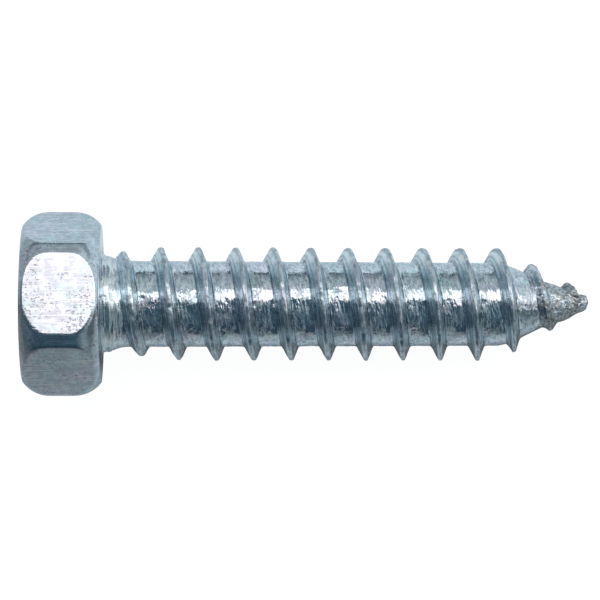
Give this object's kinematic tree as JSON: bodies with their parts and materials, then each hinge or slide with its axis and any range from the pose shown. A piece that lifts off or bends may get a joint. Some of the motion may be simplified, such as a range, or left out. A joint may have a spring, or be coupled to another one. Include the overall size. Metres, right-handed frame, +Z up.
{
  "type": "hex head self-tapping screw",
  "caption": "Hex head self-tapping screw in bright zinc-plated steel, with a coarse right-hand thread along the whole shank and a gimlet point.",
  "frame": {"origin": "on the floor, below the middle of the screw's box, as the screw lies at rest", "axes": "+X towards the point, +Z up, a flat of the head facing down and one facing up"},
  "size_m": [0.0274, 0.0088, 0.0081],
  "materials": {
    "zinc_plated_steel": "bright blue-white zinc plating, fine rolling marks"
  },
  "bodies": {
    "root": {"screw": "zinc_plated_steel"}
  },
  "joints": []
}
